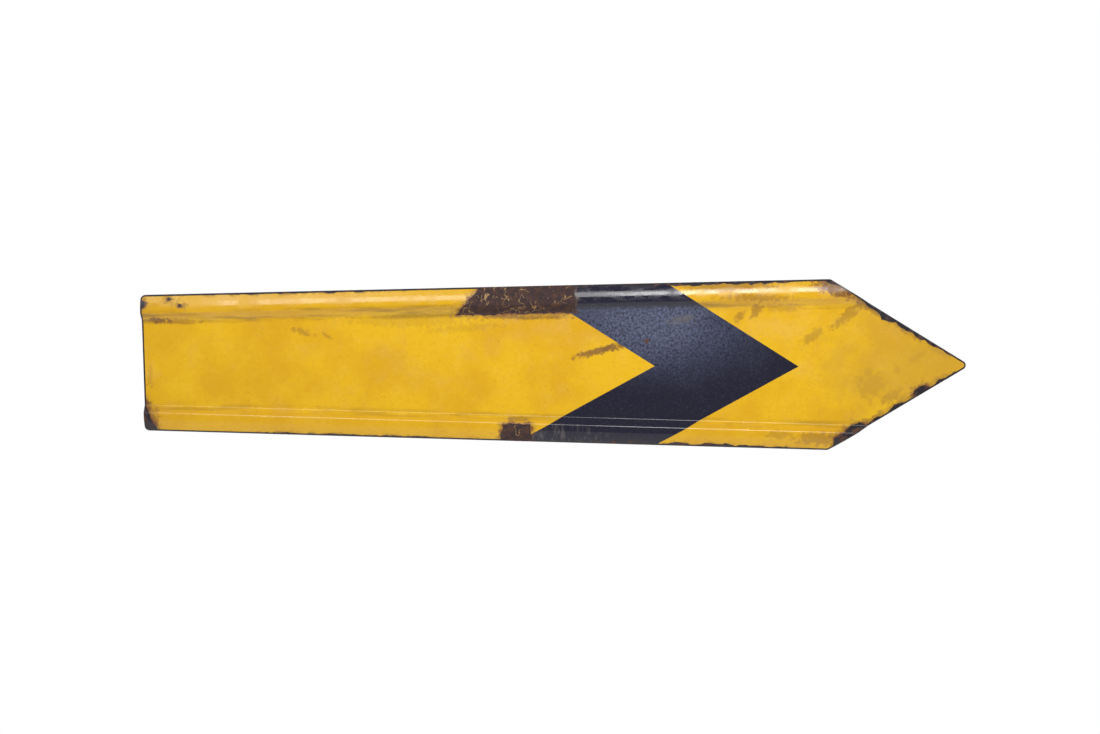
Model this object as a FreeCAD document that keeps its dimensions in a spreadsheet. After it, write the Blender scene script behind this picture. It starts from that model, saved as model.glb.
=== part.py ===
"""Blade of a railway semaphore signal arm: a pressed-steel sheet, vitreous enamelled on both faces.

The blade tapers outwards from its root to two shoulders and ends in a blunt point. A raised
bead runs along each long edge, parallel to it, and stiffens the flat field between them. The
enamel is made as the enameller lays it: a dark ground coat on both faces and round the cut
edge, then a cover coat in three panels, of which the middle one is a chevron.

Frame, in millimetres: X runs from the root to the tip, Z is up, and the front faces -Y. The
flat back lies in the plane Y = 0, and the origin is on it, on the centre line, in the middle
of the seat where the root is clamped.
"""

import FreeCAD, Part

import math
import os

import Sketcher
from FreeCAD import Placement, Rotation, Vector

OUTPUT_FOLDER = "parts"

# Driving dimensions: alias, value in millimetres or degrees, and what it measures.
SIZES = [
    ("arm_length", 1200.0, "root edge to the end of the tip, on the centre line"),
    ("shoulder_at", 1000.0, "root edge to the shoulders, where the point begins"),
    ("root_depth", 198.0, "top edge to bottom edge at the root"),
    ("shoulder_depth", 250.0, "top edge to bottom edge at the shoulders"),
    ("root_lean", 3.5, "how much further out the root edge is at its top than at its foot"),
    ("seat_from_root", 60.0, "root edge to the middle of the seat, which is the origin"),
    ("root_corner_radius", 6.5, "corner radius at the root"),
    ("shoulder_corner_radius", 6.0, "corner radius at the shoulders"),
    ("tip_radius", 6.5, "radius of the blunt point"),
    ("sheet_thickness", 2.0, "steel sheet"),
    ("ground_coat", 0.3, "ground enamel on each face"),
    ("cover_coat", 0.5, "cover enamel on each face"),
    ("rim_coat", 0.5, "ground enamel round the cut edge"),
    ("cover_inset", 2.5, "finished edge to the edge of the cover enamel"),
    ("bead_band", 27.0, "finished edge to the corner where the bead turns down to the field"),
    ("bead_slope", 10.5, "width of the bead's slope, seen from the front"),
    ("bead_height", 8.5, "crest of the bead above the field"),
    ("lip_rise", 1.2, "front of the outer lip above the field"),
    ("crest_bend_radius", 5.0, "bend at the crest, on the front"),
    ("field_bend_radius", 3.0, "bend at the field, on the front"),
    ("chevron_at", 746.0, "root edge to the chevron's inner point"),
    ("chevron_width", 210.0, "width of the chevron along the arm"),
    ("chevron_drop", 2.5, "how far the chevron's points lie below the centre line"),
    ("chevron_upper_rise", 32.0, "angle of the chevron's upper limb to the centre line"),
    ("chevron_lower_rise", 29.0, "angle of the chevron's lower limb to the centre line"),
    ("run_out", 10.0, "how far the raw sheet and the cutting prisms run past the blade"),
]

# Values that follow from the driving dimensions: name, property type, expression.
DERIVED = [
    ("root_x", "App::PropertyFloat", "-Sizes.seat_from_root"),
    (
        "taper",
        "App::PropertyAngle",
        "atan((Sizes.shoulder_depth - Sizes.root_depth) / 2 / Sizes.shoulder_at)",
    ),
    (
        "finished_thickness",
        "App::PropertyFloat",
        "Sizes.sheet_thickness + 2 * (Sizes.ground_coat + Sizes.cover_coat)",
    ),
    ("slope_angle", "App::PropertyAngle", "atan(Sizes.bead_height / Sizes.bead_slope)"),
    (
        "crest_from_edge",
        "App::PropertyFloat",
        "Sizes.bead_band - Sizes.crest_bend_radius * tan(Derived.slope_angle / 2)",
    ),
    (
        "field_from_edge",
        "App::PropertyFloat",
        "Sizes.bead_band + Sizes.bead_slope"
        " + Sizes.field_bend_radius * tan(Derived.slope_angle / 2)",
    ),
    (
        "arch_radius",
        "App::PropertyFloat",
        "(Derived.crest_from_edge ^ 2 + (Sizes.bead_height - Sizes.lip_rise) ^ 2)"
        " / (2 * (Sizes.bead_height - Sizes.lip_rise))",
    ),
    ("start_x", "App::PropertyFloat", "Derived.root_x - Sizes.run_out"),
    ("end_x", "App::PropertyFloat", "Derived.root_x + Sizes.arm_length + Sizes.run_out"),
    ("reach", "App::PropertyFloat", "Sizes.shoulder_depth / 2 + Sizes.run_out"),
]

# Layers of the wall: name, then the levels of its back and front faces, measured from the
# flat back towards the front.
BACK_COVER_TOP = "Sizes.cover_coat"
STEEL_BACK = "Sizes.cover_coat + Sizes.ground_coat"
STEEL_FRONT = "Sizes.cover_coat + Sizes.ground_coat + Sizes.sheet_thickness"
GROUND_FRONT = "Derived.finished_thickness - Sizes.cover_coat"
LAYERS = {
    "steel": (STEEL_BACK, STEEL_FRONT),
    "ground_front": (STEEL_FRONT, GROUND_FRONT),
    "ground_back": (BACK_COVER_TOP, STEEL_BACK),
    "ground_wrap": (BACK_COVER_TOP, GROUND_FRONT),
    "cover_front": (GROUND_FRONT, "Derived.finished_thickness"),
    "cover_back": ("0", BACK_COVER_TOP),
}

# A sketch in the XZ plane whose normal points to the front.
FRONT_PLANE = Placement(Vector(0, 0, 0), Rotation(Vector(1, 0, 0), 90))
AXIS_X = -1
AXIS_ORIGIN = (-1, 1)

document = FreeCAD.newDocument("SemaphoreBlade")


def add_sizes():
    """Put the driving dimensions in a spreadsheet, and the values that follow in a variable set."""
    sheet = document.addObject("Spreadsheet::Sheet", "Sizes")
    for row, (alias, value, meaning) in enumerate(SIZES, start=1):
        sheet.set(f"A{row}", alias)
        sheet.set(f"B{row}", str(value))
        sheet.set(f"C{row}", meaning)
        sheet.setAlias(f"B{row}", alias)
    document.recompute()
    derived = document.addObject("App::VarSet", "Derived")
    for name, kind, expression in DERIVED:
        derived.addProperty(kind, name)
        derived.setExpression(name, expression)
        document.recompute()
    return derived


def number(expression):
    """Value of an expression over the sizes, as a plain number."""
    result = values.evalExpression(expression)
    return float(getattr(result, "Value", result))


def half_depth(x_expression):
    """Expression for the distance from the centre line to the finished edge at a given X."""
    return f"(Sizes.root_depth / 2 + (({x_expression}) - Derived.root_x) * tan(Derived.taper))"


def constrain(sketch, kind, *where, expression=None):
    """Add a constraint, and bind its value to an expression if it has one."""
    if expression is None:
        return sketch.addConstraint(Sketcher.Constraint(kind, *where))
    index = sketch.addConstraint(Sketcher.Constraint(kind, *where, number(expression)))
    sketch.setExpression(f"Constraints[{index}]", expression)
    return index


def place_point(sketch, point, x_expression, y_expression):
    """Hold a point of the sketch at the two expressions; a coordinate of 0 is on the X axis."""
    constrain(sketch, "DistanceX", *AXIS_ORIGIN, *point, expression=x_expression)
    if y_expression == "0":
        constrain(sketch, "PointOnObject", *point, AXIS_X)
    else:
        constrain(sketch, "DistanceY", *AXIS_ORIGIN, *point, expression=y_expression)


def draw_polygon(sketch, corners):
    """Closed polygon through corners given as pairs of expressions."""
    points = [Vector(number(x), number(y), 0) for x, y in corners]
    lines = []
    for index, point in enumerate(points):
        following = points[(index + 1) % len(points)]
        lines.append(sketch.addGeometry(Part.LineSegment(point, following), False))
    for index, line in enumerate(lines):
        constrain(sketch, "Coincident", lines[index - 1], 2, line, 1)
        place_point(sketch, (line, 1), *corners[index])


def draw_arc(sketch, centre, radius, first, last):
    """Add the shorter arc from first to last; return its index and the ends at first and last."""
    start = math.atan2(first.y - centre.y, first.x - centre.x)
    turn = math.atan2(last.y - centre.y, last.x - centre.x) - start
    turn = (turn + math.pi) % (2 * math.pi) - math.pi
    circle = Part.Circle(centre, Vector(0, 0, 1), radius)
    if turn > 0:
        arc = Part.ArcOfCircle(circle, start, start + turn)
        return sketch.addGeometry(arc, False), 1, 2
    arc = Part.ArcOfCircle(circle, start + turn, start)
    return sketch.addGeometry(arc, False), 2, 1


def draw_outline(sketch):
    """Finished outline: straight edges, rounded root corners and shoulders, and a blunt point."""
    top_root_x = "Derived.root_x - Sizes.root_lean / 2"
    foot_root_x = "Derived.root_x + Sizes.root_lean / 2"
    shoulder_x = "Derived.root_x + Sizes.shoulder_at"
    tip_x = "Derived.root_x + Sizes.arm_length - Sizes.tip_radius"
    corners = [
        (foot_root_x, f"-{half_depth(foot_root_x)}", "Sizes.root_corner_radius"),
        (shoulder_x, "-Sizes.shoulder_depth / 2", "Sizes.shoulder_corner_radius"),
        (tip_x, "0", "Sizes.tip_radius"),
        (shoulder_x, "Sizes.shoulder_depth / 2", "Sizes.shoulder_corner_radius"),
        (top_root_x, half_depth(top_root_x), "Sizes.root_corner_radius"),
    ]
    points = [Vector(number(x), number(y), 0) for x, y, _ in corners]
    lines = []
    for index, point in enumerate(points):
        following = points[(index + 1) % len(points)]
        step = (following - point).normalize() * number(corners[index][2])
        line = Part.LineSegment(point + step, following - step)
        lines.append(sketch.addGeometry(line, False))
    for index, (x_expression, y_expression, radius_expression) in enumerate(corners):
        before = lines[index - 1]
        after = lines[index]
        radius = number(radius_expression)
        to_before = (points[index - 1] - points[index]).normalize()
        to_after = (points[(index + 1) % len(points)] - points[index]).normalize()
        half_angle = to_before.getAngle(to_after) / 2
        inwards = (to_before + to_after).normalize()
        centre = points[index] + inwards * (radius / math.sin(half_angle))
        reach = radius / math.tan(half_angle)
        first = points[index] + to_before * reach
        last = points[index] + to_after * reach
        arc, start, stop = draw_arc(sketch, centre, radius, first, last)
        constrain(sketch, "Tangent", before, 2, arc, start)
        constrain(sketch, "Tangent", arc, stop, after, 1)
        constrain(sketch, "Radius", arc, expression=radius_expression)
        if y_expression == "0":
            place_point(sketch, (arc, 3), x_expression, y_expression)
            continue
        corner = sketch.addGeometry(Part.Point(points[index]), True)
        constrain(sketch, "PointOnObject", corner, 1, before)
        constrain(sketch, "PointOnObject", corner, 1, after)
        place_point(sketch, (corner, 1), x_expression, y_expression)


def draw_bead_face(sketch, level):
    """One face of the bead's wall, at a level above the flat back; return its two loose ends.

    From the edge inwards it is an arch, the crest bend, a slope and the field bend. The
    sketch's origin is on the finished edge, its X is the arm's Y, and its Y points outwards
    across the edge. All levels share the centres of the arcs, so the layers are parallel.
    """
    inwards = f"(Derived.finished_thickness - ({level}))"
    crest_level = "Derived.finished_thickness + Sizes.bead_height"
    crest_centre = (
        f"-({crest_level} - Sizes.crest_bend_radius)",
        "-Derived.crest_from_edge",
    )
    field_centre = (
        "-(Derived.finished_thickness + Sizes.field_bend_radius)",
        "-Derived.field_from_edge",
    )
    arch_radius = f"Derived.arch_radius - {inwards}"
    crest_radius = f"Sizes.crest_bend_radius - {inwards}"
    field_radius = f"Sizes.field_bend_radius + {inwards}"
    lip_y = "Sizes.run_out / 2"

    arch_at = Vector(number(f"Derived.arch_radius - ({crest_level})"), number(crest_centre[1]), 0)
    crest_at = Vector(number(crest_centre[0]), number(crest_centre[1]), 0)
    field_at = Vector(number(field_centre[0]), number(field_centre[1]), 0)
    angle = math.radians(number("Derived.slope_angle"))
    normal = Vector(-math.cos(angle), -math.sin(angle), 0)
    rise = number(lip_y) - arch_at.y
    lip_x = arch_at.x - math.sqrt(number(arch_radius) ** 2 - rise**2)
    lip = Vector(lip_x, number(lip_y), 0)
    crest = crest_at + Vector(-1, 0, 0) * number(crest_radius)
    slope_top = crest_at + normal * number(crest_radius)
    slope_foot = field_at - normal * number(field_radius)
    field = field_at + Vector(1, 0, 0) * number(field_radius)

    arch, lip_end, arch_end = draw_arc(sketch, arch_at, number(arch_radius), lip, crest)
    bend, bend_start, bend_end = draw_arc(
        sketch, crest_at, number(crest_radius), crest, slope_top
    )
    slope = sketch.addGeometry(Part.LineSegment(slope_top, slope_foot), False)
    foot, foot_start, foot_end = draw_arc(
        sketch, field_at, number(field_radius), slope_foot, field
    )
    place_point(sketch, (bend, 3), *crest_centre)
    constrain(sketch, "Radius", bend, expression=crest_radius)
    constrain(sketch, "Horizontal", bend, 3, bend, bend_start)
    constrain(sketch, "Tangent", arch, arch_end, bend, bend_start)
    constrain(sketch, "Radius", arch, expression=arch_radius)
    constrain(sketch, "DistanceY", *AXIS_ORIGIN, arch, lip_end, expression=lip_y)
    constrain(sketch, "Tangent", bend, bend_end, slope, 1)
    constrain(sketch, "Tangent", slope, 2, foot, foot_start)
    place_point(sketch, (foot, 3), *field_centre)
    constrain(sketch, "Radius", foot, expression=field_radius)
    constrain(sketch, "Horizontal", foot, 3, foot, foot_end)
    return (arch, lip_end), (foot, foot_end)


def join_ends(sketch, first, last):
    """Close a gap in the sketch with a straight line between two ends."""
    start = sketch.getPoint(*first)
    stop = sketch.getPoint(*last)
    line = sketch.addGeometry(Part.LineSegment(start, stop), False)
    constrain(sketch, "Coincident", *first, line, 1)
    constrain(sketch, "Coincident", line, 2, *last)


def origin_plane(body, role):
    """One of the body's own origin planes, by its role."""
    return next(part for part in body.Origin.OriginFeatures if part.Role == role)


def attach(body, name, role):
    """New sketch of a body, attached to one of the body's origin planes."""
    sketch = body.newObject("Sketcher::SketchObject", name)
    sketch.AttachmentSupport = (origin_plane(body, role), [""])
    sketch.MapMode = "FlatFace"
    return sketch


def make_layer(name, back_level, front_level):
    """Raw sheet of one layer: the flat field and a bead along each edge, not yet cut to shape."""
    body = document.addObject("PartDesign::Body", f"{name}_layer")

    field_sketch = attach(body, f"{name}_field_sketch", "XZ_Plane")
    field_sketch.setExpression("AttachmentOffset.Base.z", back_level)
    bead_reach = "Derived.field_from_edge / cos(Derived.taper)"
    start_z = f"{half_depth('Derived.start_x')} - {bead_reach}"
    end_z = f"{half_depth('Derived.end_x')} - {bead_reach}"
    draw_polygon(
        field_sketch,
        [
            ("Derived.start_x", f"-({start_z})"),
            ("Derived.end_x", f"-({end_z})"),
            ("Derived.end_x", end_z),
            ("Derived.start_x", start_z),
        ],
    )
    field = body.newObject("PartDesign::Pad", f"{name}_field")
    field.Profile = field_sketch
    field.setExpression("Length", f"{front_level} - ({back_level})")

    bead_sketch = attach(body, f"{name}_bead_sketch", "YZ_Plane")
    bead_sketch.setExpression("AttachmentOffset.Base.y", half_depth("Derived.start_x"))
    bead_sketch.setExpression("AttachmentOffset.Base.z", "Derived.start_x")
    bead_sketch.setExpression(
        "AttachmentOffset.Rotation", "rotation(vector(1; 0; 0); -Derived.taper)"
    )
    front_lip, front_foot = draw_bead_face(bead_sketch, front_level)
    back_lip, back_foot = draw_bead_face(bead_sketch, back_level)
    join_ends(bead_sketch, front_lip, back_lip)
    join_ends(bead_sketch, front_foot, back_foot)
    bead = body.newObject("PartDesign::Pad", f"{name}_bead")
    bead.Profile = bead_sketch
    bead.setExpression("Length", "(Derived.end_x - Derived.start_x) / cos(Derived.taper)")

    mirrored = body.newObject("PartDesign::Mirrored", f"{name}_beads")
    mirrored.Originals = [bead]
    mirrored.MirrorPlane = (origin_plane(body, "XY_Plane"), [""])
    body.Tip = mirrored
    document.recompute()
    return body


def make_prism(name, profile):
    """Cutting prism over a closed profile, deep enough to pass through the whole wall."""
    prism = document.addObject("Part::Extrusion", name)
    prism.Base = profile
    prism.DirMode = "Normal"
    prism.Solid = True
    prism.setExpression(
        "LengthFwd", "Derived.finished_thickness + Sizes.bead_height + Sizes.run_out"
    )
    prism.setExpression("LengthRev", "Sizes.run_out")
    return prism


def front_sketch(name):
    """New free sketch in the plane of the blade, seen from the front."""
    sketch = document.addObject("Sketcher::SketchObject", name)
    sketch.Placement = FRONT_PLANE
    return sketch


def make_inset_prism(name, outline, inset):
    """Cutting prism over the finished outline, drawn in by a distance all round."""
    inner = document.addObject("Part::Offset2D", f"{name}_outline")
    inner.Source = outline
    inner.setExpression("Value", f"-({inset})")
    return make_prism(f"{name}_prism", inner)


def limb_line(point_x):
    """Top, point and foot of a chevron line whose point is at the given X."""
    upper_back = "(Derived.reach + Sizes.chevron_drop) / tan(Sizes.chevron_upper_rise * 1 deg)"
    lower_back = "(Derived.reach - Sizes.chevron_drop) / tan(Sizes.chevron_lower_rise * 1 deg)"
    return [
        (f"{point_x} - {upper_back}", "Derived.reach"),
        (point_x, "-Sizes.chevron_drop"),
        (f"{point_x} - {lower_back}", "-Derived.reach"),
    ]


def make_panel_prisms():
    """Cutting prisms for the three panels of cover enamel: root, chevron and tip."""
    inner = limb_line("Derived.root_x + Sizes.chevron_at")
    outer = limb_line("Derived.root_x + Sizes.chevron_at + Sizes.chevron_width")
    root_end = [("Derived.start_x", "-Derived.reach"), ("Derived.start_x", "Derived.reach")]
    tip_end = [("Derived.end_x", "-Derived.reach"), ("Derived.end_x", "Derived.reach")]
    shapes = {
        "root": root_end + inner,
        "chevron": inner[::-1] + outer,
        "tip": tip_end + outer,
    }
    prisms = {}
    for name, corners in shapes.items():
        sketch = front_sketch(f"{name}_panel_sketch")
        draw_polygon(sketch, corners)
        prisms[name] = make_prism(f"{name}_panel_prism", sketch)
    return prisms


def make_piece(label, *shapes):
    """Sub-part: what a raw layer and its cutting prisms have in common."""
    piece = document.addObject("Part::MultiCommon", label)
    piece.Shapes = list(shapes)
    piece.Label = label
    piece.Placement = Placement()
    pieces.append(piece)


def check_and_write():
    """Stop if any object failed or any piece isn't one valid solid, then write the pieces."""
    for item in document.Objects:
        if "Invalid" in item.State or "Error" in item.State:
            raise RuntimeError(f"{item.Name} failed: {item.State}")
    for piece in pieces:
        shape = piece.Shape
        if shape.isNull() or not shape.isValid() or len(shape.Solids) != 1:
            raise RuntimeError(f"{piece.Label} is not one valid solid")
    os.makedirs(OUTPUT_FOLDER, exist_ok=True)
    for piece in pieces:
        piece.Shape.exportStep(os.path.join(OUTPUT_FOLDER, f"{piece.Label}.step"))
        box = piece.Shape.optimalBoundingBox(True, False)
        print(
            f"{piece.Label}: {box.XLength:.1f} x {box.YLength:.2f} x {box.ZLength:.1f} mm,"
            f" {piece.Shape.Volume / 1000:.1f} cm3"
        )


values = add_sizes()
pieces = []

layers = {name: make_layer(name, *levels) for name, levels in LAYERS.items()}

finished_outline = front_sketch("finished_outline")
draw_outline(finished_outline)
finished_prism = make_prism("finished_prism", finished_outline)
steel_prism = make_inset_prism("steel", finished_outline, "Sizes.rim_coat")
cover_prism = make_inset_prism("cover", finished_outline, "Sizes.cover_inset")
panels = make_panel_prisms()

rim_ring = document.addObject("Part::Cut", "rim_ring")
rim_ring.Base = finished_prism
rim_ring.Tool = steel_prism

make_piece("steel_pressing", layers["steel"], steel_prism)
make_piece("ground_coat_front", layers["ground_front"], steel_prism)
make_piece("ground_coat_back", layers["ground_back"], steel_prism)
make_piece("ground_coat_rim", layers["ground_wrap"], rim_ring)
make_piece("yellow_enamel_root_panel", layers["cover_front"], cover_prism, panels["root"])
make_piece("black_enamel_chevron", layers["cover_front"], cover_prism, panels["chevron"])
make_piece("yellow_enamel_tip_panel", layers["cover_front"], cover_prism, panels["tip"])
make_piece("white_enamel_back_root_panel", layers["cover_back"], cover_prism, panels["root"])
make_piece("black_enamel_back_chevron", layers["cover_back"], cover_prism, panels["chevron"])
make_piece("white_enamel_back_tip_panel", layers["cover_back"], cover_prism, panels["tip"])

document.recompute()
check_and_write()
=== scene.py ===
"""Looks of a railway semaphore arm blade: pressed steel with fired enamel coats, worn in service.

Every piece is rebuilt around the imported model, in its frame: X from the root to the tip, Z up
and the front facing -Y, in metres. The sheet's layers are swept like a pressing, trimmed to the
blade's outline and given their thickness; then enamel is broken out of them with chips, so that
the ground coat and the rusty steel lie open underneath.
"""

import logging
import math
from contextlib import contextmanager
from dataclasses import dataclass, field
from enum import Enum
from typing import Any, Callable, Iterator, Optional, Sequence

import bpy
import numpy as np
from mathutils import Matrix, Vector, noise
from mathutils.kdtree import KDTree


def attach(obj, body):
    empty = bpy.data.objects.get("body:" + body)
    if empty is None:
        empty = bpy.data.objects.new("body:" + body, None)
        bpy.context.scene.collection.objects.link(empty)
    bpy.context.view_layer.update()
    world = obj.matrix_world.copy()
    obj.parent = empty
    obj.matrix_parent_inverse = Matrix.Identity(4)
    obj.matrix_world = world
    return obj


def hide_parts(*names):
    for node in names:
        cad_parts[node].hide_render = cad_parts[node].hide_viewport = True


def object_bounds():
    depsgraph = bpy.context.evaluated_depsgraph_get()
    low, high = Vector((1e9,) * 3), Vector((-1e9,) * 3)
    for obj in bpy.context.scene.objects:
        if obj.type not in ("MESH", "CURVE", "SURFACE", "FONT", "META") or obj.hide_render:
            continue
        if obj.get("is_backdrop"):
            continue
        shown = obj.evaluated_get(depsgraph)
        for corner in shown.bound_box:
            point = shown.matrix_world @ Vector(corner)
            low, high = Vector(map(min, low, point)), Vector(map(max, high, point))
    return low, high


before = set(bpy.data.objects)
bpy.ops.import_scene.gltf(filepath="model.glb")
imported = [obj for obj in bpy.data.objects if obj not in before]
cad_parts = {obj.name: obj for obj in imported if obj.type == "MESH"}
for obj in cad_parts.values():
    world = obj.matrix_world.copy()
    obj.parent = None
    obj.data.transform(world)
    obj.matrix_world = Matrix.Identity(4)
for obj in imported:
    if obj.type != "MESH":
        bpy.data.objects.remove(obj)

log = logging.getLogger("blade")

MM = 0.001
MERGE = 1e-5
FINE_MERGE = 1e-6
SMOOTH_ANGLE = math.radians(28.0)
BODY = "root"

Point = tuple[float, float]


# ---------------------------------------------------------------- modelling helpers


def deselect_everything() -> None:
    """Leave edit mode and deselect every object."""
    if bpy.context.mode != "OBJECT":
        bpy.ops.object.mode_set(mode="OBJECT")
    bpy.ops.object.select_all(action="DESELECT")


@contextmanager
def editing(piece: bpy.types.Object, mode: str = "FACE") -> Iterator[None]:
    """Work on one piece in edit mode, and go back to object mode after.

    Args:
        piece: The mesh object to edit.
        mode: VERT, EDGE or FACE, the kind of element that is selected.
    """
    deselect_everything()
    piece.select_set(True)
    bpy.context.view_layer.objects.active = piece
    bpy.ops.object.mode_set(mode="EDIT")
    bpy.context.tool_settings.mesh_select_mode = tuple(mode == m for m in ("VERT", "EDGE", "FACE"))
    yield
    bpy.ops.object.mode_set(mode="OBJECT")


def select_edges(piece: bpy.types.Object, wanted: Callable[[Vector, Vector], bool]) -> None:
    """Select only the edges whose two ends pass a test.

    Args:
        piece: The mesh object, in object mode.
        wanted: Test on the two end points.
    """
    mesh = piece.data
    mesh.polygons.foreach_set("select", [False] * len(mesh.polygons))
    mesh.vertices.foreach_set("select", [False] * len(mesh.vertices))
    for edge in mesh.edges:
        first, last = edge.vertices
        edge.select = wanted(mesh.vertices[first].co, mesh.vertices[last].co)
        if edge.select:
            mesh.vertices[first].select = True
            mesh.vertices[last].select = True


def select_faces(piece: bpy.types.Object, wanted: Callable[[Vector, Vector], bool]) -> None:
    """Select only the faces whose centre and normal pass a test.

    Args:
        piece: The mesh object, in object mode.
        wanted: Test on the face's centre and normal.
    """
    mesh = piece.data
    mesh.edges.foreach_set("select", [False] * len(mesh.edges))
    mesh.vertices.foreach_set("select", [False] * len(mesh.vertices))
    for polygon in mesh.polygons:
        polygon.select = wanted(polygon.center, polygon.normal)
        if polygon.select:
            for index in polygon.vertices:
                mesh.vertices[index].select = True


def apply_modifier(piece: bpy.types.Object, kind: str, **settings: Any) -> None:
    """Add a modifier with its settings and apply it.

    Args:
        piece: The mesh object.
        kind: The modifier's type.
        **settings: Its properties.
    """
    deselect_everything()
    piece.select_set(True)
    bpy.context.view_layer.objects.active = piece
    modifier = piece.modifiers.new(kind.title(), kind)
    for name, value in settings.items():
        setattr(modifier, name, value)
    bpy.ops.object.modifier_apply(modifier=modifier.name)


def settle_place(piece: bpy.types.Object) -> None:
    """Move the object's place, turn and scale into its mesh."""
    deselect_everything()
    piece.select_set(True)
    bpy.context.view_layer.objects.active = piece
    bpy.ops.object.transform_apply(location=True, rotation=True, scale=True)


def join(pieces: Sequence[bpy.types.Object]) -> bpy.types.Object:
    """Join mesh objects into the first of them, and return it."""
    deselect_everything()
    for piece in pieces:
        piece.select_set(True)
    bpy.context.view_layer.objects.active = pieces[0]
    if len(pieces) > 1:
        bpy.ops.object.join()
    return pieces[0]


def copy_of(piece: bpy.types.Object) -> bpy.types.Object:
    """Copy of a mesh object, with its own mesh."""
    twin = piece.copy()
    twin.data = piece.data.copy()
    bpy.context.scene.collection.objects.link(twin)
    return twin


def discard(piece: bpy.types.Object) -> None:
    """Remove a helper object and its mesh."""
    mesh = piece.data
    bpy.data.objects.remove(piece)
    bpy.data.meshes.remove(mesh)


def prism(outline: Sequence[Point], reach: float = 0.03) -> bpy.types.Object:
    """Closed prism over an outline of X and Z, deep enough for the whole blade.

    Args:
        outline: X and Z of its corners, in order.
        reach: Half its depth.
    """
    bpy.ops.mesh.primitive_circle_add(vertices=len(outline), radius=reach, fill_type="NOTHING")
    body = bpy.context.object
    for vertex, (x, z) in zip(body.data.vertices, outline):
        vertex.co = (x, -reach, z)
    with editing(body, "EDGE"):
        bpy.ops.mesh.select_all(action="SELECT")
        bpy.ops.mesh.edge_face_add()
        bpy.ops.mesh.select_all(action="SELECT")
        bpy.ops.mesh.extrude_region_move(TRANSFORM_OT_translate={"value": (0.0, 2.0 * reach, 0.0)})
        bpy.ops.mesh.select_all(action="SELECT")
        bpy.ops.mesh.normals_make_consistent(inside=False)
    return body


def carve(piece: bpy.types.Object, cutter: bpy.types.Object, operation: str) -> None:
    """Cut a piece with a closed body.

    Args:
        piece: The closed mesh object.
        cutter: The closed body.
        operation: DIFFERENCE to cut it out, INTERSECT to keep only what is inside it.
    """
    apply_modifier(piece, "BOOLEAN", operation=operation, object=cutter, solver="MANIFOLD")


# ---------------------------------------------------------------- the blade's form


@dataclass(frozen=True)
class Corner:
    """Rounded corner of the outline: its centre, its radius and the normals it turns between."""

    centre: Point
    radius: float
    start: float
    stop: float


class Edge(Enum):
    """Edges of the blade, by name."""

    TOP = "top"
    FOOT = "foot"
    UPPER_POINT = "upper point"
    LOWER_POINT = "lower point"
    ROOT = "root"


class Panel(Enum):
    """Panels of cover enamel along the blade."""

    ROOT = "root"
    CHEVRON = "chevron"
    TIP = "tip"


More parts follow.
